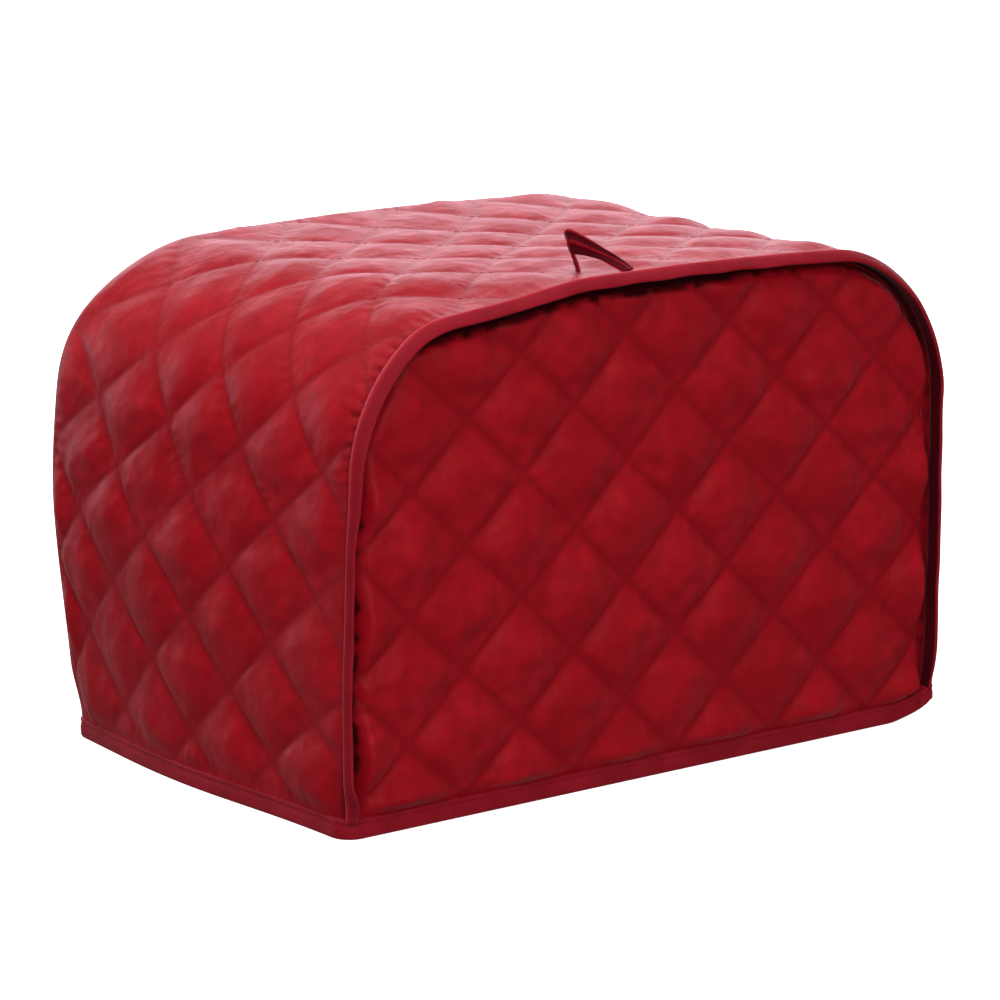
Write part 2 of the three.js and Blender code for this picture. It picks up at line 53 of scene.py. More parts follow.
# %% The cover's sizes, in millimetres
WIDTH = 300  # over the side walls
DEPTH = 192  # from the front seam to the back seam
SHOULDER_HEIGHT = 202
CROWN = 6.3  # how much higher the middle of the top is than the shoulders
SHOULDER_RADIUS = 59.4
CLOTH = 2  # thickness of the quilted cloth along a stitched line
SEAM_INSET = 2.4  # the end panels lie this far inside the outline of the strip
HEM_HEIGHT = 8
HEM_PROUD = 1  # how far the hem tape stands outside the walls
SHEET_FOOT = 3  # the cloth and the back tape end at this height, inside the hem tape
FLANGE_FOOT = 6.5  # and the front tape ends at this one
MIDDLE = np.array([-2.70, 1.42, 0.0])
MM = 0.001

HALF_WIDTH, HALF_DEPTH = WIDTH / 2, DEPTH / 2
TOP_HEIGHT = SHOULDER_HEIGHT + CROWN
WALL = SHOULDER_HEIGHT - SHOULDER_RADIUS
ARC = math.pi / 2 * SHOULDER_RADIUS
STRIP_LENGTH = 2 * WALL + 2 * ARC + WIDTH - 2 * SHOULDER_RADIUS

# %% [markdown]
# ## Small helpers for curves
# `smooth` rises from 0 to 1 with soft ends, `arch` goes up and down again, and `bump` is 1 in
# its middle and 0 at its ends. `soft_noise` gives random but smooth numbers: a table of random
# values, blended between neighbours. Its seed is fixed, so each run gives the same cloth.
# `noise_along` is the same noise along one line.

# %% Curve helpers
def clamp(value):
    return np.clip(value, 0, 1)


def smooth(value):
    value = clamp(value)
    return value * value * (3 - 2 * value)


def arch(value):
    return np.sin(math.pi * clamp(value))


def bump(value):
    return np.cos(math.pi / 2 * np.minimum(1, np.abs(value))) ** 2


def soft_noise(u, v, seed):
    """Smooth random numbers from -1 to 1, with about one bump in each unit of u and of v."""
    size = 97
    table = np.random.default_rng(seed).uniform(-1, 1, (size, size))
    i, j = np.floor(u).astype(int), np.floor(v).astype(int)
    a, b = smooth(u - i), smooth(v - j)
    near = (1 - a) * table[i % size, j % size] + a * table[(i + 1) % size, j % size]
    far = (1 - a) * table[i % size, (j + 1) % size] + a * table[(i + 1) % size, (j + 1) % size]
    return (1 - b) * near + b * far


def noise_along(length, size, seed):
    return soft_noise(length / size, length * 0, seed)


# %% [markdown]
# ## The outline and how the cloth settles
# The strip follows a wall, a round shoulder and a crowned top, and the same again mirrored. A
# sewn cover is never a perfect box: it bows out near its back, the top sags, the front seam has
# a dent at the left shoulder, and one front corner of the hem is lifted. Every piece shares
# these moves, so that the seams still meet.

# %% The outline
def to_end(along):
    """The length from a place on the strip to the nearer of its two ends."""
    return np.minimum(along, STRIP_LENGTH - along)


def crown_at(x, z):
    return CROWN * (1 - (x / HALF_WIDTH) ** 2) * clamp(z / SHOULDER_HEIGHT) ** 2


def outline(along):
    """x and z of the strip at a length along it, from the left hem over to the right hem."""
    near = to_end(along)
    turn = np.clip((near - WALL) / SHOULDER_RADIUS, 0, math.pi / 2)
    x = -HALF_WIDTH + SHOULDER_RADIUS * (1 - np.cos(turn)) + np.maximum(0, near - WALL - ARC)
    z = np.minimum(near, WALL) + SHOULDER_RADIUS * np.sin(turn)
    return np.where(along > STRIP_LENGTH / 2, -x, x), z + crown_at(x, z)


def offset_outline(along, out):
    """The outline moved outwards by `out`, square to itself."""
    before = outline(np.maximum(0, along - 0.5))
    after = outline(np.minimum(STRIP_LENGTH, along + 0.5))
    dx, dz = after[0] - before[0], after[1] - before[1]
    length = np.hypot(dx, dz)
    x, z = outline(along)
    return x - dz / length * out, z + dx / length * out


# %% Settling
# Each move is named with how far it goes, and then with where it is felt.
HEM_BOW, HEM_BOW_Y, HEM_BOW_HALF = 6.5, 15, 110
WALL_BOW, WALL_BOW_RISE, WALL_BOW_SHARE = 12, 1.35, 0.78
SHOULDER_BOW, SHOULDER_BOW_Z, SHOULDER_BOW_HALF = 4, 182, 40
LOWER_BOW, LOWER_BOW_TOP, LOWER_BOW_FADE = 2, 95, 55
FOOT_BOW, FOOT_BOW_TOP, FOOT_BOW_FADE = 1.5, 60, 40
RIGHT_BOW, RIGHT_HEM_SHARE, RIGHT_WALL_SHARE = 1.5, 0.5, 0.6
BACK_BOW, BACK_HEM_BOW, FRONT_BOW = 6, 3, 2
STILL_HALF = 40  # nothing moves sideways nearer than this to the middle
TOP_FROM, TOP_FADE = 150, 50
SAG, SAG_PLACE, SAG_HALF = 2.5, (30, 10), (170, 110)
DENT, DENT_X, DENT_LEFT, DENT_RIGHT, DENT_FRONT, DENT_FADE = 4.4, -95, 30, 62, 40, 50
LIFT, LIFT_X, LIFT_RAMP_X, LIFT_FRONT, LIFT_RAMP_Y, LIFT_HEIGHT = 8, 128, 20, 20, 70, 90
TUCK, RIGHT_TUCK_SHARE = 2, 0.3


def tuck_corner(x, y, z):
    """Draws the lower corners in, to where the hem tape turns the corner."""
    from_corner = np.hypot(HALF_WIDTH - np.abs(x), HALF_DEPTH - np.abs(y))
    near_hem = smooth(1 - (z - HEM_HEIGHT) / (3 * HEM_HEIGHT))
    near_corner = smooth(1 - from_corner / (2 * HEM_HEIGHT))
    pull = TUCK * np.where(x < 0, 1, RIGHT_TUCK_SHARE) * near_corner * near_hem
    return x - np.sign(x) * pull, y - np.sign(y) * pull, z


def settle(x, y, z):
    near_left = smooth((-x - STILL_HALF) / (HALF_WIDTH - STILL_HALF))
    near_right = smooth((x - STILL_HALF) / (HALF_WIDTH - STILL_HALF))
    near_back, near_front = smooth(y / HALF_DEPTH), smooth(-y / HALF_DEPTH)
    near_hem = clamp(1 - z / SHOULDER_HEIGHT) ** 2
    away_from_front = smooth((y + HALF_DEPTH) / (WALL_BOW_SHARE * DEPTH))
    away_from_sides = np.sqrt(bump(x / HALF_WIDTH))

    hem_bow = HEM_BOW * near_hem * bump((y - HEM_BOW_Y) / HEM_BOW_HALF)
    under_shoulder = SHOULDER_BOW * bump((z - SHOULDER_BOW_Z) / SHOULDER_BOW_HALF)
    wall_bow = away_from_front * (WALL_BOW * arch(clamp(z / TOP_HEIGHT) ** WALL_BOW_RISE) + under_shoulder)
    lower_bow = LOWER_BOW * (1 - smooth((z - LOWER_BOW_TOP) / LOWER_BOW_FADE))
    foot_bow = FOOT_BOW * near_front ** 2 * (1 - smooth((z - FOOT_BOW_TOP) / FOOT_BOW_FADE))
    out_left = near_left * (hem_bow + wall_bow + lower_bow + foot_bow)
    out_right = near_right * (RIGHT_HEM_SHARE * hem_bow + RIGHT_WALL_SHARE * wall_bow
                              + RIGHT_BOW * arch(z / SHOULDER_HEIGHT))

    middle_bow = arch(z / SHOULDER_HEIGHT) * away_from_sides
    out_back = near_back * (BACK_HEM_BOW * near_hem + BACK_BOW * middle_bow)
    out_front = near_front * FRONT_BOW * middle_bow

    on_top = smooth((z - TOP_FROM) / TOP_FADE)
    sag = SAG * on_top * bump((x - SAG_PLACE[0]) / SAG_HALF[0]) * bump((y - SAG_PLACE[1]) / SAG_HALF[1])
    at_shoulder = bump((x - DENT_X) / np.where(x < DENT_X, DENT_LEFT, DENT_RIGHT))
    dent = DENT * on_top * at_shoulder * smooth((-y - DENT_FRONT) / DENT_FADE)
    at_corner = clamp((x - LIFT_X) / LIFT_RAMP_X) ** 2 * smooth((-y - LIFT_FRONT) / LIFT_RAMP_Y)
    lift = LIFT * at_corner * clamp(1 - z / LIFT_HEIGHT) ** 2
    return x - out_left + out_right, y + out_back - out_front, z + lift - sag - dent


def in_frame(x, y, z):
    """Points of the drawing as an array in metres, in the frame."""
    x, y, z = np.broadcast_arrays(*settle(x, y, z))
    return (np.stack([x, y, z], axis=-1) - MIDDLE) * MM


# %% [markdown]
# ## The quilting
# Two layers of cloth with filling between them are stitched in slanting lines, which cross and
# leave diamonds. The height of the filling is a product of two waves, one for each family of
# lines: it is 0 on both lines and fullest in the middle of a diamond. Short creases run away
# from a stitched line, and the cloth has broad dents and fine crumples, which are sharp where a
# smooth noise passes through its middle. The height is added square to the surface.

# %% Height of the quilting
PUFF = 4.6  # how far the middle of a diamond rises above its stitched lines
ROUNDNESS = 0.8  # below 1, a puff is fuller at its sides
SEAM_WIDTH = 0.14  # of the painted shade along a stitched line, as a share of the wave
STRAY = 0.9  # how far a sewn line wanders: no hand or machine sews quite straight
CREASE, CREASE_PITCH = 0.34, 6.5
DENTS = ((0.95, 21), (0.5, 10))  # depth and size
CRUMPLES = (0.9, 0.5)
CRUMPLE_TURN = (0.8, 0.6)  # the crumples run aslant of the cloth


def wander(u, v, seed):
    return STRAY * soft_noise(u / 31, v / 31, seed), STRAY * soft_noise(u / 27, v / 27, seed + 1)


def quilted(u, v, length, width, seed, worn=1):
    """Height at u, v from a crossing of stitched lines, and how near a stitched line is, 0 to 1."""
    first, second = u / length + v / width, u / length - v / width
    side = math.hypot(length, width) / 2  # between two crossings along a stitched line
    wave_one, wave_two = np.abs(np.sin(math.pi * first)), np.abs(np.sin(math.pi * second))
    pillow = wave_one * wave_two
    height = PUFF * (0.93 + 0.1 * soft_noise(u / 40, v / 40, seed + 8)) * pillow ** ROUNDNESS
    for wave, across, number in ((wave_one, second, 1), (wave_two, first, 2)):
        drift = soft_noise(u / 9, v / 9, seed + number)
        ripple = np.sin(2 * math.pi * across * side / CREASE_PITCH + 4 * drift)
        strength = clamp(0.2 + 1.1 * soft_noise(u / 14, v / 14, seed + number + 2))
        reach = np.exp(-((wave - 0.25) / 0.2) ** 2)
        height = height + CREASE * strength * ripple * reach
    dents = sum(depth * soft_noise(u / size, v / size, seed + k) for k, (depth, size) in enumerate(DENTS, 5))
    c, s = CRUMPLE_TURN
    slanted, steep = c * u - s * v, s * u + c * v
    crumples = (CRUMPLES[0] * (0.3 - np.abs(soft_noise(slanted / 19, steep / 13, seed + 7)))
                + CRUMPLES[1] * (0.3 - np.abs(soft_noise(steep / 8, slanted / 11, seed + 9))))
    line = np.exp(-(np.minimum(wave_one, wave_two) / SEAM_WIDTH) ** 2)
    return height + smooth(2.5 * pillow) * (dents + worn * crumples), line


# %% [markdown]
# ## Making a closed sheet
# Every quilted panel is a closed body: a fine outer skin with the quilting, a plainer inner
# skin, and a rim that joins them. The rim's faces have many corners, because the outer grid has
# four steps for each step of the inner one. Each point's place on the flat cloth is kept as a
# UV map in metres, so that the weave follows the cloth.

# %% Meshes from points
def placed(name, data):
    """A new object in the scene that shows `data`, a mesh, a lamp or a camera."""
    item = bpy.data.objects.new(name, data)
    bpy.context.scene.collection.objects.link(item)
    return item


def finished_mesh(name, points, faces, uv, material, shades):
    """An object from points in metres. Each of `shades` is a number from 0 to 1 at each point."""
    fans = [(face[0], *pair) for face in faces for pair in zip(face[1:], face[2:])]
    a, b, c = points[np.array(fans)].swapaxes(0, 1)
    volume = np.sum(a * np.cross(b, c)) / 6
    if volume < 0:  # the faces look inwards
        faces = [face[::-1] for face in faces]
    mesh = bpy.data.meshes.new(name)
    mesh.from_pydata(points.tolist(), [], faces)
    corners = np.empty(len(mesh.loops), dtype=np.int32)
    mesh.loops.foreach_get("vertex_index", corners)
    layer = mesh.uv_layers.new(name="cloth")
    layer.data.foreach_set("uv", np.asarray(uv, dtype=np.float32)[corners].ravel())
    for label, values in shades.items():
        attribute = mesh.attributes.new(label, "FLOAT", "POINT")
        attribute.data.foreach_set("value", np.asarray(values, dtype=np.float32))
    mesh.shade_smooth()
    mesh.materials.append(material)
    print(f"{name}: {len(points)} points, {len(faces)} faces, {abs(volume) * 1e6:.1f} cm3")
    return placed(name, mesh)


def grid_faces(rows, columns, start=0):
    i, j = np.meshgrid(np.arange(rows), np.arange(columns), indexing="ij")
    a = (start + i * (columns + 1) + j).ravel()
    return np.stack([a, a + columns + 1, a + columns + 2, a + 1], axis=1).tolist()


SKIP = 4  # steps of the outer skin for each step of the inner skin


def closed_sheet(name, outer, inner, flat, shades, material):
    """`outer` and `inner` are grids of points, and `inner` is used at every fourth row and column."""
    rows, columns = outer.shape[0] - 1, outer.shape[1] - 1
    coarse = inner[::SKIP, ::SKIP]
    inner_columns = coarse.shape[1] - 1
    start = outer.shape[0] * outer.shape[1]
    faces = grid_faces(rows, columns)
    faces += [face[::-1] for face in grid_faces(coarse.shape[0] - 1, inner_columns, start)]

    def join(count, at):
        for k in range(0, count, SKIP):
            edge = [at(k + m) for m in range(SKIP, -1, -1)]
            skin = [i * (columns + 1) + j for i, j in edge]
            lower = [start + (i // SKIP) * (inner_columns + 1) + j // SKIP for i, j in (edge[-1], edge[0])]
            faces.append(skin + lower)

    join(rows, lambda k: (k, 0))
    join(columns, lambda k: (rows, k))
    join(rows, lambda k: (rows - k, columns))
    join(columns, lambda k: (0, columns - k))
    points = np.concatenate([outer.reshape(-1, 3), coarse.reshape(-1, 3)])
    uv = np.concatenate([flat.reshape(-1, 2), flat[::SKIP, ::SKIP].reshape(-1, 2)]) * MM
    shades = {label: np.concatenate([grid.ravel(), grid[::SKIP, ::SKIP].ravel()])
              for label, grid in shades.items()}
    return finished_mesh(name, points, faces, uv, material, shades)


# %% [markdown]
# ## The finishes
# The cloth is a soft brushed satin: mostly matt, but pale where one looks along it. A low
# refractive index gives that, with a little sheen. Thread lines come from a wave texture on the
# UV map, mottling and small crumples from noise on the object coordinates. Two attributes of
# the mesh paint shade into the colour: `seam` darkens the valleys along the stitched lines, and
# `crevice` paints shade in the deep fold beside the tape, in the gathers, on the tape's inner
# side and front face, over the hem and inside the loop. The tape has a close rib across its
# length and a duller red, with a highlight painted along the ridge of its fold.

# %% Material helpers
def new_material(name, colour, roughness, sheen):
    material = bpy.data.materials.new(name)
    material.use_nodes = True
    values = {"Base Color": (*colour, 1), "Roughness": roughness, "Sheen Weight": sheen,
              "Sheen Roughness": 0.3, "Sheen Tint": (1.0, 0.72, 0.76, 1)}
    for socket, value in values.items():
        material.node_tree.nodes["Principled BSDF"].inputs[socket].default_value = value
    return material


def add_node(tree, kind, settings=None, **values):
    """A node with its settings and socket values. A value may be another node's output."""
    node = tree.nodes.new(kind)
    for key, value in (settings or {}).items():
        setattr(node, key, value)
    for key, value in values.items():
        socket = node.inputs[key.replace("_", " ")]
        if isinstance(value, bpy.types.NodeSocket):
            tree.links.new(value, socket)
        else:
            socket.default_value = value
    return node


def noise_on(tree, size, detail=2.0):
    """Noise whose bumps are about `size` millimetres across, on the object coordinates."""
    place = add_node(tree, "ShaderNodeTexCoord").outputs["Object"]
    noise = add_node(tree, "ShaderNodeTexNoise", Vector=place, Scale=1 / (size * MM), Detail=detail)
    return noise.outputs[0]


def threads_on(tree, pitch, angle):
    """Fine lines `pitch` millimetres apart on the cloth's UV map, turned by `angle` degrees."""
    place = add_node(tree, "ShaderNodeTexCoord").outputs["UV"]
    turned = add_node(tree, "ShaderNodeMapping", Vector=place, Rotation=(0, 0, math.radians(angle)))
    scale = 2 * math.pi / 20 / (pitch * MM)  # the wave texture repeats 20 times in 2 pi units
    wave = add_node(tree, "ShaderNodeTexWave", {"wave_type": "BANDS", "bands_direction": "X"},
                    Vector=turned.outputs["Vector"], Scale=scale, Distortion=0.6, Detail_Scale=1.5)
    return wave.outputs["Fac"]


def add_bumps(tree, layers):
    """A chain of bumps. Each layer is an output from 0 to 1 and its height in millimetres."""
    normal = {}
    for output, height in layers:
        bump_node = add_node(tree, "ShaderNodeBump", Height=output, Distance=height * MM, **normal)
        normal = {"Normal": bump_node.outputs["Normal"]}
    tree.links.new(normal["Normal"], tree.nodes["Principled BSDF"].inputs["Normal"])


def mix_colour(tree, amount, first, second):
    node = add_node(tree, "ShaderNodeMix", {"data_type": "RGBA"})
    tree.links.new(amount, node.inputs[0])
    for socket, value in ((node.inputs[6], first), (node.inputs[7], second)):
        if isinstance(value, bpy.types.NodeSocket):
            tree.links.new(value, socket)
        else:
            socket.default_value = (*value, 1)
    return node.outputs[2]


def ramp(tree, value, low, high):
    """`value` stretched so that `low` becomes 0 and `high` becomes 1."""
    return add_node(tree, "ShaderNodeMapRange", Value=value, From_Min=low, From_Max=high).outputs[0]


def attribute_on(tree, name):
    return add_node(tree, "ShaderNodeAttribute", {"attribute_name": name}).outputs["Fac"]


def fabric_shine(material):
    """A low refractive index: no glare face on, but still a pale wash at a grazing look."""
    shader = material.node_tree.nodes["Principled BSDF"]
    shader.inputs["IOR"].default_value = 1.2
    return material.node_tree, shader


# %% The quilted cloth
CLOTH_RED = (0.37, 0.0030, 0.0095)
CLOTH_PALE = (0.45, 0.0050, 0.0145)
CLOTH_DULL = (0.31, 0.0024, 0.008)
CLOTH_SEAM_SHADE = (0.29, 0.0022, 0.0075)
CLOTH_PAINTED_SHADE = (0.035, 0.0004, 0.0014)


quilted_cloth = new_material("quilted_cloth", CLOTH_RED, 0.5, 0.11)
tree, shader = fabric_shine(quilted_cloth)
patches = ramp(tree, noise_on(tree, 32), 0.35, 0.65)
mottles = ramp(tree, noise_on(tree, 8, 4), 0.25, 0.7)
tone = mix_colour(tree, patches, CLOTH_RED, CLOTH_PALE)
tone = mix_colour(tree, mottles, CLOTH_DULL, tone)
# Painted shade: darker in the valleys along the stitched lines.
tone = mix_colour(tree, attribute_on(tree, "seam"), tone, CLOTH_SEAM_SHADE)
# Painted shade, near black, in the crevice beside the tape and in the gathers' folds.
tone = mix_colour(tree, attribute_on(tree, "crevice"), tone, CLOTH_PAINTED_SHADE)
tree.links.new(tone, shader.inputs["Base Color"])
matt = add_node(tree, "ShaderNodeMapRange", Value=mottles, To_Min=0.58, To_Max=0.46)
tree.links.new(matt.outputs[0], shader.inputs["Roughness"])
add_bumps(tree, [(noise_on(tree, 9), 0.6), (noise_on(tree, 2.2), 0.07),
                 (threads_on(tree, 0.42, 0), 0.016), (threads_on(tree, 0.42, 90), 0.016)])
print("quilted cloth:", len(tree.nodes), "nodes")

# %% The binding tape and the sewing thread
TAPE_RED = (0.31, 0.005, 0.014)
TAPE_PALE = (0.38, 0.008, 0.021)
TAPE_PAINTED_SHADE = (0.07, 0.0008, 0.006)
TAPE_PAINTED_HIGHLIGHT = (0.62, 0.06, 0.085)
THREAD_RED = (0.40, 0.004, 0.012)

binding_tape = new_material("binding_tape", TAPE_RED, 0.6, 0.12)
tree, shader = fabric_shine(binding_tape)
patches = ramp(tree, noise_on(tree, 14), 0.35, 0.65)
tone = mix_colour(tree, patches, TAPE_RED, TAPE_PALE)
# A highlight painted along the ridge of the tape's fold.
tone = mix_colour(tree, attribute_on(tree, "painted_highlight"), tone, TAPE_PAINTED_HIGHLIGHT)
# Painted shade on the tape's inner side and front face, over the hem and inside the loop.
tone = mix_colour(tree, attribute_on(tree, "crevice"), tone, TAPE_PAINTED_SHADE)
tree.links.new(tone, shader.inputs["Base Color"])
add_bumps(tree, [(noise_on(tree, 5, 3), 0.3), (threads_on(tree, 0.55, 0), 0.05),
                 (threads_on(tree, 0.4, 90), 0.015)])
print("binding tape:", len(tree.nodes), "nodes")

thread = new_material("sewing_thread", THREAD_RED, 0.5, 0.18)
tree = fabric_shine(thread)[0]
add_bumps(tree, [(noise_on(tree, 0.4), 0.03)])

# %% [markdown]
# ## The strip over the sides and the top
# The strip is a grid of places on its flat cloth, `along` it from hem to hem and `across` it
# from front to back. Each place is moved a little first, because the rows of diamonds climb
# towards the back and draw together over the shoulder. The filling is pressed down at the
# seams and under the loop's feet. At the shoulder the cloth was eased round the curve, which
# leaves small gathers beside the front tape.

# %% Places on the strip
LOOP_FEET = ((-12.2, -93.4), (-26.5, -79.4))
STRIP_DIAMOND = (50.2, 50.3)  # along the strip and across it
STRIP_CROSSING = (173.2, -5.0)
EASE, FRONT_EASE = 8, 13  # the filling rises to its full height this far from a seam


def strip_place(along, across):
    """Where a place of the quilting pattern comes to lie on the strip."""
    inside = 1 - (across / HALF_DEPTH) ** 4
    from_end = to_end(along)
    on_top = smooth((from_end - 95) / 77)
    moved = across + inside * (7 - (13 + 0.12 * across) * on_top)
    astray = wander(along, across, 91)
    in_from_hem = smooth((from_end - HEM_HEIGHT) / SHOULDER_RADIUS)
    return along + (0.06 * moved + astray[0]) * in_from_hem, moved + inside * astray[1]


def strip_point(along, across, out):
    x, z = offset_outline(along, out)
    return in_frame(*tuck_corner(x, across, z))


def away_from_loop(along, across):
    """0 where the loop's feet are sewn down, rising to 1 around them."""
    x, z = outline(along)
    free = 1
    for foot_x, foot_y in LOOP_FEET:
        distance = np.where(z > WALL, np.hypot(x - foot_x, across - foot_y), WIDTH)
        free = np.minimum(free, smooth((distance - 7) / 16))
    return free


def strip_fullness(along, across):
    from_seam = HALF_DEPTH - np.abs(across)
    from_hem = to_end(along) - HEM_HEIGHT
    full = smooth(from_seam / np.where(across < 0, FRONT_EASE, EASE)) ** 0.8 * smooth(from_hem / EASE) ** 0.8
    return full * away_from_loop(along, across)


def puckers(along, from_seam, seed, pitch=5.6, reach=15):
    """Small folds that run away from a seam, wider apart in some places than in others."""
    drift = noise_along(along, 4 * pitch, seed)
    fold = np.sin(2 * math.pi * along / pitch + 2.4 * drift)
    strength = clamp(0.45 + 0.8 * soft_noise(along / (3 * pitch), along * 0 + 5, seed + 1))
    return fold * strength * smooth(from_seam / (0.15 * reach)) * smooth(1 - from_seam / reach)


def gathers(along, from_seam):
    """Narrow folds beside the seam at the left shoulder, where the cloth was eased round it."""
    pitch = 5.2
    place = along / pitch + 0.35 * noise_along(along, 11, 37)
    from_fold = np.abs(place - np.round(place)) * pitch
    length = 4.5 + 2 * noise_along(along, 6, 38)
    strength = smooth((along - 130) / 25) * smooth((214 - along) / 20)
    return strength * np.exp(-(from_fold / 0.75) ** 2) * smooth((length - from_seam) / 2.5)


# %% The strip
# Shares of the rows, and lengths along the strip: the rows are closest at the left shoulder.
ROW_SPACING = np.array([(0, SHEET_FOOT), (0.13, 112), (0.34, 220), (1, STRIP_LENGTH - SHEET_FOOT)])
strip_rows = np.interp(np.linspace(0, 1, 520 + 1), *ROW_SPACING.T)
strip_columns = np.linspace(-HALF_DEPTH, HALF_DEPTH, 128 + 1)
p, q = np.meshgrid(strip_rows, strip_columns, indexing="ij")
along, across = strip_place(p, q)


def strip_quilting(u, v):
    """The height at a place of the pattern, fuller on the walls than on the top."""
    along, across = strip_place(u, v)
    on_top = smooth((to_end(along) - 120) / 90)
    height, line = quilted(u - STRIP_CROSSING[0], v - STRIP_CROSSING[1], *STRIP_DIAMOND,
                           seed=11, worn=1 - 0.6 * on_top)
    loft = 0.84 - 0.34 * on_top
    return strip_fullness(along, across) * loft * height, line


height, line = strip_quilting(p, q)
from_end = to_end(along)
at_shoulder = bump((from_end - 180) / 65)
height += (0.12 + 0.6 * at_shoulder) * puckers(along, HALF_DEPTH + across, 31)
height += 0.3 * puckers(along, HALF_DEPTH - across, 41)
height += 0.35 * puckers(across, from_end - HEM_HEIGHT, 51)
fold = gathers(along, HALF_DEPTH + across)
# Painted shade in the gathers' folds, and along the strip's front edge near its left hem.
shade_beside_foot = 0.9 * smooth((2.6 - HALF_DEPTH - across) / 1.5) * smooth((34 - along) / 20)
# Painted shade in the valleys along the stitched lines, weaker over the top and none at the loop's feet.
seam_shade = line * away_from_loop(along, across) * (1 - 0.3 * smooth((from_end - 150) / 80))
strip = closed_sheet("quilted_strip", strip_point(along, across, height - 0.9 * fold),
                     strip_point(along, across, np.full_like(along, -CLOTH)),
                     np.stack([along, across], axis=-1),
                     {"seam": seam_shade, "crevice": np.maximum(0.7 * fold, shade_beside_foot)}, quilted_cloth)

# %% [markdown]
# ## The end panels
# A panel has the rounded top of the outline. Its columns follow the round corners at equal
# lengths of edge, and its rows reach from the hem up to the edge. The diamonds do not follow
# the rows: their height is looked up from x and z.

# %% The front and back panels
PANEL_DIAMOND = (52.4, 50.0)  # across the panel and up it
PANEL_CROSSING = (9.7, 109.6)
PANEL_HALF = HALF_WIDTH - SEAM_INSET
PANEL_RADIUS = SHOULDER_RADIUS - SEAM_INSET


def from_tape(x, z):
    """How far a place of the panel is inside its rounded edge, where the tape is."""
    top = SHOULDER_HEIGHT - SEAM_INSET + crown_at(x, z)
    past = np.maximum(0, np.abs(x) - PANEL_HALF + PANEL_RADIUS)
    over = np.maximum(0, z - top + PANEL_RADIUS)
    rounded = PANEL_RADIUS - np.hypot(past, over)
    straight = np.minimum(PANEL_HALF - np.abs(x), top - z)
    return np.maximum(0, np.where((past > 0) & (over > 0), rounded, straight))


def panel_grid(arc_steps, flat_steps, rows):
    turn = np.linspace(0, math.pi / 2, arc_steps + 1)
    corner = PANEL_HALF - PANEL_RADIUS + PANEL_RADIUS * np.cos(turn)
    middle = np.linspace(-corner[-1], corner[-1], flat_steps + 1)[1:-1]
    x = np.concatenate([-corner, middle, corner[::-1]])
    past = np.maximum(0, np.abs(x) - PANEL_HALF + PANEL_RADIUS)
    drop = PANEL_RADIUS - np.sqrt(np.maximum(0, PANEL_RADIUS ** 2 - past ** 2))
    top = SHOULDER_HEIGHT - SEAM_INSET - drop + crown_at(x, SHOULDER_HEIGHT - drop)
    share = np.linspace(0, 1, rows + 1)
    return np.broadcast_to(x[:, None], (len(x), rows + 1)), SHEET_FOOT + share * (top[:, None] - SHEET_FOOT)


# `rim` is how deep the edge lies, `bare` how wide its flat border is, and `belly` how far the
# panel stands out between its edges. The front one dips into a crevice beside its tape: `dip`
# is how far, and `deep` gives how wide its shade is, from the left edge over to the right one.
FRONT = {"side": -1, "rim": 0.9, "dip": 2.6, "bare": 1.8, "belly": 1.6, "puff": 1.25, "seed": 61,
         "deep": ((-150, 4), (-130, 5.5), (-100, 7), (-42, 7), (-10, 7.4), (20, 6.4), (50, 5.4), (80, 4.8),
                  (106, 4.4), (125, 4.4), (138, 4), (144, 1.8), (150, 1))}
BACK = {"side": 1, "rim": 2.5, "dip": 0, "bare": 6, "belly": 1.5, "puff": 0.85, "seed": 81,
        "deep": ((-150, 0), (150, 0))}


def panel_height(x, z, panel):
    stray = wander(x, z, panel["seed"] + 30)
    height, line = quilted(x - PANEL_CROSSING[0] + stray[0], z - PANEL_CROSSING[1] + stray[1],
                           *PANEL_DIAMOND, seed=panel["seed"])
    from_edge = from_tape(x, z)
    full = smooth((from_edge - panel["bare"]) / 6) ** 0.75
    dip = panel["dip"] * smooth(from_edge / 1.6) * (1 - full) * smooth((z - HEM_HEIGHT) / 6)
    full = full * smooth((z - HEM_HEIGHT + 0.5) / 6) ** 0.75
    return full * (panel["belly"] + panel["puff"] * height) - dip, line


def shade_beside_tape(x, z, line, panel):
    """Painted shade: 1 in the crevice at the panel's edge and 0 further in, with a ragged border."""
    wide = np.interp(x, *np.array(panel["deep"]).T)
    on_left = smooth((-x - 100) / 40)
    ragged = 1 + (0.12 + 0.2 * on_left) * soft_noise(x / 4, z / 4, panel["seed"] + 12) + 0.15 * line
    in_shade = smooth((wide * ragged - from_tape(x, z)) / 1.8)
    return in_shade * smooth((z - HEM_HEIGHT) / 4) * (1 - 0.3 * bump((x - 80) / 30))


def panel_point(x, z, out, panel):
    return in_frame(*tuck_corner(x, panel["side"] * (HALF_DEPTH - panel["rim"] + out), z))


def end_panel(name, panel):
    x, z = panel_grid(56, 124, 132)
    height, line = panel_height(x, z, panel)
    edge = np.where(z < 2 * HEM_HEIGHT, x, np.arctan2(z - WALL / 2, x) * 120)
    from_edge = np.minimum(from_tape(x, z) - panel["bare"], z - HEM_HEIGHT)
    height += 0.45 * puckers(edge, from_edge, panel["seed"] + 9)
    return closed_sheet(name, panel_point(x, z, height, panel),
                        panel_point(x, z, np.full_like(x, -CLOTH), panel), np.stack([x, z], axis=-1),
                        {"seam": line, "crevice": shade_beside_tape(x, z, line, panel)}, quilted_cloth)


front_panel = end_panel("quilted_front", FRONT)
back_panel = end_panel("quilted_back", BACK)

# %% [markdown]
# ## The tapes
# A folded tape has a rounded free edge, a line of stitches that pulls a valley into it, and a
# slightly wavy run. Each tape is one section moved along its seam. The front tape stands
# forward as a flange, whose left foot bends in. The back tape is pressed flat.

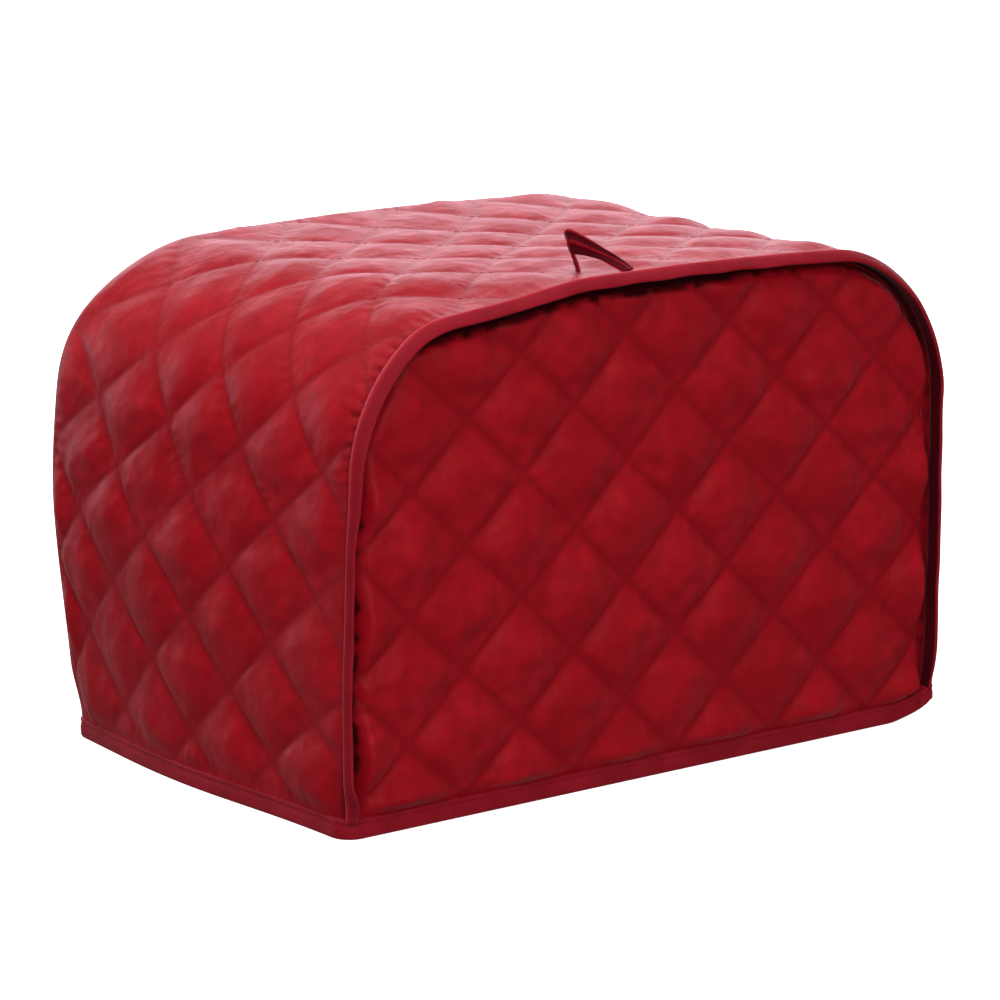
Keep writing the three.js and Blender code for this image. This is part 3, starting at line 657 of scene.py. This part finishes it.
# %% Sweeping a tape
def swept(name, sections, perimeter, lengths, joined, crevice=0, painted_highlight=0):
    """A closed body of tape through rings of points; `joined` closes the last ring to the first."""
    count, sides = sections.shape[:2]
    i, k = np.meshgrid(np.arange(count if joined else count - 1), np.arange(sides), indexing="ij")
    here, there = i * sides, ((i + 1) % count) * sides
    after = (k + 1) % sides
    faces = np.stack([here + k, there + k, there + after, here + after], axis=-1).reshape(-1, 4).tolist()
    if not joined:
        last = (count - 1) * sides
        faces += [list(range(sides)), [last + k for k in range(sides - 1, -1, -1)]]
    uv = np.stack(np.meshgrid(lengths, perimeter, indexing="ij"), axis=-1).reshape(-1, 2) * MM
    shades = {"crevice": np.broadcast_to(crevice, sections.shape[:2]).ravel(),
              "painted_highlight": np.broadcast_to(painted_highlight, sections.shape[:2]).ravel()}
    return finished_mesh(name, sections.reshape(-1, 3), faces, uv, binding_tape, shades)


def lengths_to(points):
    """How far along a line of points each of them is."""
    return np.concatenate([[0], np.cumsum(np.linalg.norm(np.diff(points, axis=0), axis=1))])


def seam_places(foot):
    """Lengths along a seam, from `foot` above the ground on one side to the same on the other."""
    return np.linspace(foot, STRIP_LENGTH - foot, 400 + 1)


# %% The front tape, standing forward as a flange
# Each pair is how far out of the outline a point is, and how far forward of the seam.
FLANGE = np.array([
    (-0.2, 0.3), (0.3, 0.2), (0.55, 0.6), (0.55, 1.1), (0.85, 1.6), (1.2, 2.2), (1.35, 2.7), (1.2, 3.2),
    (0.8, 3.9), (0.25, 4.7), (-0.35, 5.5), (-1.0, 6.3), (-1.6, 6.9), (-2.2, 7.3), (-2.7, 7.35), (-3.15, 7.0),
    (-3.25, 6.3), (-2.9, 4.6), (-2.7, 2.8), (-2.7, 1.2), (-2.8, 0.3)])


FLANGE_LEAN = 0.48  # radians outwards, up the left wall
UPRIGHT_AT, UPRIGHT_FADE = 185, 80  # along the seam it leans less and less, up to here
FOOT_TURN, FOOT_DRAW, FOOT_HEIGHT = 0.35, 0.6, 16  # the left foot bends in and is drawn back
RIGHT_FOOT_DRAW, RIGHT_FOOT_HEIGHT = 0.2, 12


def flange_point(length, out, forward):
    from_left, from_right = length - HEM_HEIGHT, STRIP_LENGTH - HEM_HEIGHT - length
    caught = smooth(1 - from_left / FOOT_HEIGHT)
    lean = FLANGE_LEAN * smooth((UPRIGHT_AT - length) / UPRIGHT_FADE) * (1 - caught)
    turn = FOOT_TURN * caught - lean
    reach = 1 - FOOT_DRAW * caught - RIGHT_FOOT_DRAW * smooth(1 - from_right / RIGHT_FOOT_HEIGHT)
    beyond = (forward - 0.3) * reach * (1 + 0.05 * noise_along(length, 19, 8))
    sway = 0.35 * noise_along(length, 13, 7) * (forward / 7) ** 2
    x, z = offset_outline(length, out * np.cos(turn) + sway - beyond * np.sin(turn))
    ahead = 0.3 + beyond * np.cos(turn) - np.minimum(0, out) * np.maximum(0, np.sin(turn)) * 0.4
    return in_frame(*tuck_corner(x, -HALF_DEPTH - ahead, z))


flange_lengths = seam_places(FLANGE_FOOT)
length, out = np.meshgrid(flange_lengths, FLANGE[:, 0], indexing="ij")
forward = np.broadcast_to(FLANGE[:, 1], out.shape)
gather = 0.12 * np.sin(2 * math.pi * length / 4.3 + 3 * noise_along(length, 11, 9))
gather = gather * bump((forward - 1.1) / 1.3) * (out > 0)
# Painted shade on the tape's inner side and on the forward part of its outer face.
inner_side_shade = smooth(-out - 1.8) * smooth((7.3 - forward) / 0.8)
face_shade = 0.3 * smooth((forward - 3.6) / 1.2) * (out > -1.8)
# A highlight painted along the ridge of the fold.
ridge_highlight = bump((forward - 2.2) / 1.5) * (out > 0.5)
front_tape = swept("front_tape", flange_point(length, out + gather, forward), lengths_to(FLANGE),
                   flange_lengths, False, np.maximum(inner_side_shade, face_shade), ridge_highlight)

# %% The back tape, pressed flat
BORDER = np.array([
    (-0.4, 0.3), (-0.6, 0.9), (-1.1, 1.6), (-1.7, 2.1), (-2.6, 2.4), (-4.4, 2.45), (-6.3, 2.4), (-6.8, 2.15),
    (-7.0, 2.1), (-7.3, 2.2), (-7.9, 2.3), (-8.3, 2.0), (-8.5, 1.5), (-8.5, 0.3)])


def border_point(length, out, behind):
    x, z = offset_outline(length, out)
    return in_frame(*tuck_corner(x, HALF_DEPTH + behind, z))


back_lengths = seam_places(SHEET_FOOT)
length, out = np.meshgrid(back_lengths, BORDER[:, 0], indexing="ij")
behind = np.broadcast_to(BORDER[:, 1], out.shape)
ripple = 0.12 * soft_noise(length / 5, out / 3, 17) * (behind > 1)
back_tape = swept("back_tape", border_point(length, out, behind + ripple), lengths_to(BORDER),
                  back_lengths, False)

# %% [markdown]
# ## The hem tape
# The hem is a ring with rounded corners, flat underneath where it stands, with a line of
# stitches near its upper edge. The ring is four quarter circles and the straight sides between.

# %% The hem tape
HEM = np.array([
    (0.6, 0.0), (0.25, 0.3), (0.05, 0.9), (0.0, 2.2), (0.05, 3.8), (0.2, 5.0), (0.5, 5.7), (0.5, 6.0),
    (0.25, 6.5), (0.15, 7.1), (0.3, 7.7), (0.8, 8.0), (1.9, 8.05), (3.0, 8.0), (3.45, 7.6), (3.6, 6.8),
    (3.6, 0.9), (3.45, 0.3), (3.0, 0.0)])
HEM_CORNER = 9  # radius of the ring's corners
HEM_STEP = 1.8  # between two places on its straight sides
HEM_EAR, HEM_EAR_REACH = 6, 17  # the hem is thicker where it wraps the flange's right foot
HEM_SHADE = 0.12


def hem_ring(step):
    """Places along the ring, the way out at each, and the length up to it."""
    half = np.array([HALF_WIDTH + HEM_PROUD, HALF_DEPTH + HEM_PROUD])
    feet, ways = [], []
    signs = ((1, -1), (1, 1), (-1, 1), (-1, -1))
    for k, sign in enumerate(signs):
        centre = (half - HEM_CORNER) * sign
        for angle in (k - 1 + np.linspace(0, 1, 13)) * math.pi / 2:
            way = np.array([math.cos(angle), math.sin(angle)])
            feet.append(centre + way * HEM_CORNER)
            ways.append(way)
        side = (half - HEM_CORNER) * (np.array(signs[(k + 1) % 4]) - sign)
        count = round(np.linalg.norm(side) / step)
        feet += [feet[-1] + side * share for share in np.arange(1, count) / count]
        ways += [way] * (count - 1)
    feet, ways = np.array(feet), np.array(ways)
    return feet, ways, lengths_to(feet)


def hem_point(feet, ways, inwards, up):
    x, y = feet[..., 0] - ways[..., 0] * inwards, feet[..., 1] - ways[..., 1] * inwards
    from_flange = np.hypot(x - HALF_WIDTH, y + HALF_DEPTH)
    ear = HEM_EAR * bump(from_flange / HEM_EAR_REACH) * (1 - smooth((inwards - 0.9) / 2))
    return in_frame(x + 0.35 * ear, y - 0.94 * ear, up)


hem_feet, hem_ways, hem_lengths = hem_ring(HEM_STEP)
inwards = np.broadcast_to(HEM[:, 0], (len(hem_feet), len(HEM)))
up = np.broadcast_to(HEM[:, 1], inwards.shape)
run = np.broadcast_to(hem_lengths[:, None], inwards.shape)
wobble = 0.22 * soft_noise(run / 9, up / 4, 23) * smooth(up / 3)
crimp = 0.1 * np.sin(2 * math.pi * run / 4.1 + 3 * noise_along(run, 12, 24)) * bump((up - 6.8) / 1.6)
hem_sections = hem_point(hem_feet[:, None], hem_ways[:, None], inwards + wobble - crimp, up)
hem_tape = swept("hem_tape", hem_sections, lengths_to(HEM), hem_lengths, True, HEM_SHADE)

# %% [markdown]
# ## The hanging loop
# The loop is a short piece of tape, sewn down by its two ends behind the front seam. It rises,
# stands on edge so that its shaded inner side shows, folds over, and comes down edge-on. Each
# of its two edges is a smooth curve through nine places, and a section of tape with a soft
# fold along each edge is laid between them.

# %% The hanging loop's path
LOOP_THICKNESS = 1.6
LOOP_FRONT_EDGE = [
    (-15.5, -95, 0), (-19.8, -92.2, 2.9), (-23.3, -89, 5), (-27.6, -86.2, 6.7), (-30.6, -84.2, 7.4),
    (-31.7, -82.8, 7.6), (-30.9, -82.2, 5.7), (-29.5, -82.2, 3.2), (-28.7, -82.5, 0)]
LOOP_BACK_EDGE = [
    (-8.8, -91.8, 0), (-14.2, -90, 4.6), (-21.7, -89.4, 9.7), (-28.4, -87.8, 14.2), (-33, -84.7, 17.4),
    (-34.5, -81.8, 17.8), (-30.9, -77, 14.6), (-27.2, -75.8, 8.5), (-24.2, -76.2, 0)]


def smooth_path(points, per_span):
    """Points on a Catmull-Rom curve through the given points."""
    points = np.asarray(points, dtype=float)
    ends = np.vstack([2 * points[0] - points[1], points, 2 * points[-1] - points[-2]])
    t = np.linspace(0, 1, per_span, endpoint=False)[:, None]
    parts = []
    for a, b, c, d in zip(ends, ends[1:], ends[2:], ends[3:]):
        parts.append(0.5 * (2 * b + (c - a) * t + (2 * a - 5 * b + 4 * c - d) * t ** 2
                            + (3 * b - a - 3 * c + d) * t ** 3))
    return np.vstack([*parts, points[-1:]])


def above_top(edge):
    """An edge of the loop in the drawing: its heights are measured from the top."""
    x, y, up = np.array(edge, dtype=float).T
    return np.stack([x, y, SHOULDER_HEIGHT + crown_at(x, SHOULDER_HEIGHT) + 0.3 + up], axis=1)


front_edge = smooth_path(above_top(LOOP_FRONT_EDGE), 9)
back_edge = smooth_path(above_top(LOOP_BACK_EDGE), 9)
loop_middle = (front_edge + back_edge) / 2
loop_halves = (back_edge - front_edge) / 2
loop_normals = np.cross(loop_halves, np.gradient(loop_middle, axis=0))  # out of the inner face
loop_normals /= np.linalg.norm(loop_normals, axis=1, keepdims=True)

# %% The hanging loop
# Each row is a share of half the width, a share of half the thickness, and the painted shade there: the
# inner face is painted dark but for a raised line along its middle, where the folded edges meet.
LOOP = np.array([
    (-1, 0, 0), (-0.97, -0.7, 0), (-0.88, -1, 0), (-0.7, -0.9, 0), (0, -0.75, 0), (0.7, -0.9, 0),
    (0.88, -1, 0), (0.97, -0.7, 0), (1, 0, 0), (0.97, 0.7, 0), (0.88, 1, 0.2), (0.75, 0.9, 1),
    (0.3, 0.8, 0.9), (0.15, 1.2, 0.2), (-0.05, 1.2, 0.2), (-0.2, 0.8, 0.9), (-0.7, 0.9, 1), (-0.88, 1, 0.9),
    (-0.97, 0.7, 0.7)])


def loop_point(across_share, thick_share):
    thick = thick_share * LOOP_THICKNESS / 2
    point = (loop_middle[:, None] + loop_halves[:, None] * across_share[None, :, None]
             + loop_normals[:, None] * thick[None, :, None])
    return in_frame(point[..., 0], point[..., 1], point[..., 2])


loop_perimeter = lengths_to(LOOP[:, :2] * (4.2, LOOP_THICKNESS / 2))
loop_tape = swept("loop_tape", loop_point(LOOP[:, 0], LOOP[:, 1]), loop_perimeter,
                  lengths_to(loop_middle), False, LOOP[:, 2])


# %% [markdown]
# ## The stitches
# Thousands of stitches repeat along lines on the surface, which is what Geometry Nodes are
# for. Python draws the lines as loose edges, just above the valleys of the quilting. The tree
# makes curves of them, sets points on them a stitch apart, and puts a short thread on each.
# Realize Instances makes real geometry, and the result is then turned into a plain mesh.

# %% Lines on the surface
def line_mesh(name, runs):
    """Loose edges through the points of each run."""
    points, edges = [], []
    for run in runs:
        start = len(points)
        points += [tuple(point) for point in run]
        edges += [(start + k, start + k + 1) for k in range(len(run) - 1)]
    mesh = bpy.data.meshes.new(name)
    mesh.from_pydata(points, edges, [])
    return mesh


def kept_runs(points, keep):
    """The stretches of a line of points for which `keep` is true."""
    runs, current = [], []
    for point, kept in zip(points, keep):
        if kept:
            current.append(point)
        elif current:
            runs.append(current)
            current = []
    return [run for run in runs + [current] if len(run) > 3]


def quilting_lines(u_range, v_range, crossing, diamond, point, inside):
    """Runs along both families of stitched lines over a range of places u, v."""
    runs = []
    v = np.arange(*v_range, 1.5)
    for family in (-1, 1):
        reach = (v_range[1] - v_range[0]) / diamond[1]
        first = math.floor((u_range[0] - crossing[0]) / diamond[0] - reach)
        last = math.ceil((u_range[1] - crossing[0]) / diamond[0] + reach)
        for k in range(first, last + 1):
            u = crossing[0] + diamond[0] * (k + family * (v - crossing[1]) / diamond[1])
            inner = (u > u_range[0]) & (u < u_range[1])
            u = np.clip(u, *u_range)
            runs += kept_runs(point(u, v), inner & inside(u, v))
    return runs


# %% The tree that sews
def sewing_tree():
    tree = bpy.data.node_groups.new("sewing", "GeometryNodeTree")
    for name, kind in (("Geometry", "Geometry"), ("Stitch length", "Float"), ("Spacing", "Float"),
                       ("Thread width", "Float"), ("Seed", "Int"), ("Thread", "Material")):
        tree.interface.new_socket(name, in_out="INPUT", socket_type="NodeSocket" + kind)
    tree.interface.new_socket("Geometry", in_out="OUTPUT", socket_type="NodeSocketGeometry")
    given = add_node(tree, "NodeGroupInput").outputs
    lines = add_node(tree, "GeometryNodeMeshToCurve", Mesh=given["Geometry"])
    places = add_node(tree, "GeometryNodeCurveToPoints", {"mode": "LENGTH"},
                      Curve=lines.outputs["Curve"], Length=given["Spacing"])
    stitch = add_node(tree, "GeometryNodeMeshUVSphere", Segments=6, Rings=4, Radius=0.5)
    turned = add_node(tree, "FunctionNodeAlignRotationToVector", {"axis": "Z"},
                      Vector=places.outputs["Tangent"])
    vary = add_node(tree, "FunctionNodeRandomValue", Seed=given["Seed"])
    vary.inputs[2].default_value, vary.inputs[3].default_value = 0.85, 1.05
    longer = add_node(tree, "ShaderNodeMath", {"operation": "MULTIPLY"})
    tree.links.new(given["Stitch length"], longer.inputs[0])
    tree.links.new(vary.outputs[1], longer.inputs[1])
    size = add_node(tree, "ShaderNodeCombineXYZ", X=given["Thread width"], Y=given["Thread width"],
                    Z=longer.outputs[0])
    sewn = add_node(tree, "GeometryNodeInstanceOnPoints", Points=places.outputs["Points"],
                    Instance=stitch.outputs["Mesh"], Rotation=turned.outputs["Rotation"],
                    Scale=size.outputs["Vector"])
    real = add_node(tree, "GeometryNodeRealizeInstances", Geometry=sewn.outputs["Instances"])
    smoothed = add_node(tree, "GeometryNodeSetShadeSmooth", Geometry=real.outputs["Geometry"])
    coloured = add_node(tree, "GeometryNodeSetMaterial", Geometry=smoothed.outputs["Geometry"],
                        Material=given["Thread"])
    add_node(tree, "NodeGroupOutput", Geometry=coloured.outputs["Geometry"])
    return tree


sewing = sewing_tree()
print("sewing tree:", len(sewing.nodes), "nodes")


# %% Sewing along lines
def sewn(name, runs, seed, **sizes):
    """A mesh of stitches along the runs. Sizes are the tree's inputs, in metres."""
    source = placed(name + "_lines", line_mesh(name + "_lines", runs))
    modifier = source.modifiers.new("sewing", "NODES")
    modifier.node_group = sewing
    values = {"Seed": seed, "Thread": thread, **sizes}
    for item in sewing.interface.items_tree:
        if item.in_out == "INPUT" and item.name in values:
            modifier[item.identifier] = values[item.name]
    source.update_tag()
    evaluated = source.evaluated_get(bpy.context.evaluated_depsgraph_get())
    mesh = bpy.data.meshes.new_from_object(evaluated)
    mesh.name = name
    mesh.materials.clear()  # the sphere of the tree brings an empty slot
    mesh.materials.append(thread)
    mesh.polygons.foreach_set("material_index", np.zeros(len(mesh.polygons), dtype=np.int32))
    source.modifiers.clear()
    bpy.data.objects.remove(source)
    print(f"{name}: {len(runs)} lines, {len(mesh.polygons)} faces")
    return placed(name, mesh)


# %% Stitches in the quilting
quilting_sizes = {"Stitch length": 0.0026, "Spacing": 0.0034, "Thread width": 0.0003}
ABOVE_CLOTH = 0.05
LINE_START = HEM_HEIGHT + 2  # the stitched lines start at this height


def strip_thread(u, v):
    return strip_point(*strip_place(u, v), strip_quilting(u, v)[0] + ABOVE_CLOTH)


def panel_thread(panel):
    def point(x, z):
        stray = wander(x, z, panel["seed"] + 30)
        x, z = x - stray[0], z - stray[1]
        return panel_point(x, z, panel_height(x, z, panel)[0] + ABOVE_CLOTH, panel)
    return point


strip_ends = (LINE_START, STRIP_LENGTH - LINE_START)
strip_stitches = sewn("strip_stitches", quilting_lines(
    strip_ends, (-HALF_DEPTH + 3, HALF_DEPTH - 3), STRIP_CROSSING, STRIP_DIAMOND, strip_thread,
    lambda u, v: strip_fullness(*strip_place(u, v)) > 0.4), 1, **quilting_sizes)
panel_ends = ((-PANEL_HALF, PANEL_HALF), (LINE_START, TOP_HEIGHT - SEAM_INSET))


def panel_stitches(name, panel, kept_from_tape, seed):
    runs = quilting_lines(*panel_ends, PANEL_CROSSING, PANEL_DIAMOND, panel_thread(panel),
                          lambda x, z: from_tape(x, z) > kept_from_tape)
    return sewn(name, runs, seed, **quilting_sizes)


front_stitches = panel_stitches("front_stitches", FRONT, 5, 2)
back_stitches = panel_stitches("back_stitches", BACK, 9, 3)

# %% Stitches in the tapes
tape_sizes = {"Stitch length": 0.0022, "Spacing": 0.0029, "Thread width": 0.0004}
front_tape_stitches = sewn("front_tape_stitches", [flange_point(flange_lengths, 0.6, 1.0)], 4, **tape_sizes)
border_run = border_point(flange_lengths, -7.0, 2.2)
back_tape_stitches = sewn("back_tape_stitches", [border_run], 5, **tape_sizes)
hem_run = hem_point(hem_feet, hem_ways, 0.42, np.full(len(hem_feet), 5.85))
hem_stitches = sewn("hem_stitches", [np.vstack([hem_run, hem_run[:1]])], 6, **tape_sizes)
loop_runs = list(np.swapaxes(loop_point(np.full(1, 0.05), np.full(1, 1.25)), 0, 1))
loop_stitches = sewn("loop_stitches", loop_runs, 7, **tape_sizes)

# %% [markdown]
# ## What each piece stands for
# Each piece rides on the one body of the model and replaces the plain solid in its place. The
# strip was cut as a rectangle, and the end panels as rectangles with two rounded corners.

# %% Hiding the solids and attaching the pieces
cloth, tape = "quilted_cloth", "binding_tape"
for piece, node, slot, stitches in (
        (strip, "wrap_panel", cloth, strip_stitches),
        (front_panel, "front_panel", cloth, front_stitches),
        (back_panel, "back_panel", cloth, back_stitches),
        (front_tape, "front_binding", tape, front_tape_stitches),
        (back_tape, "back_binding", tape, back_tape_stitches),
        (hem_tape, "hem_binding", tape, hem_stitches),
        (loop_tape, "top_loop", tape, loop_stitches)):
    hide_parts(node)
    for part in (piece, stitches):
        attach(part, "root")

# %% [markdown]
# ## Floor, light and camera
# The photograph has a bright even background and soft light, so the floor is a large pale
# plane and the light comes from wide area lamps and a white sky. The camera's place, turn and
# long lens were found by matching the cover's corners in the photograph.

# %% The floor
FLOOR_HALF = 15  # metres
floor_corners = [(x * FLOOR_HALF, y * FLOOR_HALF, 0) for x, y in ((-1, -1), (1, -1), (1, 1), (-1, 1))]
floor_mesh = bpy.data.meshes.new("floor")
floor_mesh.from_pydata(floor_corners, [], [(0, 1, 2, 3)])
floor = placed("floor", floor_mesh)
pale_floor = new_material("pale_floor", (0.9, 0.9, 0.9), 0.9, 0)
floor_shader = pale_floor.node_tree.nodes["Principled BSDF"]
floor_shader.inputs["Emission Color"].default_value = (1, 1, 1, 1)
floor_shader.inputs["Emission Strength"].default_value = 0.8
floor_mesh.materials.append(pale_floor)
floor.visible_glossy = False  # its glare would wash out the sides
floor.visible_diffuse = False  # the sky gives the cover a weaker light from below

# %% The sky and the lamps
bpy.context.scene.view_settings.view_transform = "Standard"  # white stays white, as in the photograph
sky = bpy.data.worlds.new("pale_sky")
bpy.context.scene.world = sky
sky.use_nodes = True
tree = sky.node_tree
tree.nodes["Background"].inputs["Color"].default_value = (1, 1, 1, 1)
seen = add_node(tree, "ShaderNodeLightPath").outputs["Is Camera Ray"]
# The sky is weaker as light on the cover than as the white behind it.
brightness = add_node(tree, "ShaderNodeMapRange", Value=seen, To_Min=0.27, To_Max=1.0)
tree.links.new(brightness.outputs[0], tree.nodes["Background"].inputs["Strength"])


def facing(place, way):
    """The matrix of a lamp or camera at `place` that looks along `way`, with its top upwards."""
    steep = abs(way[2]) >= 0.99 * np.linalg.norm(way)
    across = np.cross(way, (0, 1, 0) if steep else (0, 0, 1))
    axes = [across, np.cross(across, way), -way]
    matrix = np.eye(4)
    matrix[:3, :3] = np.stack([axis / np.linalg.norm(axis) for axis in axes], axis=1)
    matrix[:3, 3] = place
    return Matrix(matrix)


def soft_lamp(name, place, aim, size, power, colour=(1, 1, 1)):
    """An area lamp of size (width, height) that points at `aim`, in metres and watts."""
    light = bpy.data.lights.new(name, "AREA")
    light.shape = "RECTANGLE"
    light.size, light.size_y = size
    light.energy = power
    light.color = colour
    lamp = placed(name, light)
    lamp.matrix_world = facing(place, np.array(aim, dtype=float) - place)
    lamp.visible_camera = False
    print(f"{name}: {power} W")


soft_lamp("overhead", (-0.15, 0.1, 1.5), (0, 0, 0.1), (1.6, 1.6), 20)
soft_lamp("front_fill", (-0.9, -1.5, 0.7), (0, 0, 0.1), (1.4, 1.0), 14.5)
soft_lamp("back_card", (1.3, 1.7, 0.75), (0, 0, 0.2), (2.4, 1.0), 35, (0.9, 0.88, 1))
soft_lamp("side_card", (-0.8, 2.2, 0.45), (-0.15, 0.1, 0.1), (0.9, 0.9), 10, (0.9, 0.88, 1))

# %% The camera
YAW, PITCH = math.radians(37.33010), math.radians(12.71155)
look = np.array([math.sin(YAW) * math.cos(PITCH), math.cos(YAW) * math.cos(PITCH), -math.sin(PITCH)])
camera_place = (np.array([-1114.443, -1454.792, 510.643]) - MIDDLE) * MM
lens = bpy.data.cameras.new("camera")
lens.lens = 161.753
lens.sensor_width = 36
lens.clip_end = 60
camera = placed("camera", lens)
camera.matrix_world = facing(camera_place, look)
bpy.context.scene.camera = camera
print("camera at", camera_place)

# %% Finish
bpy.context.view_layer.update()
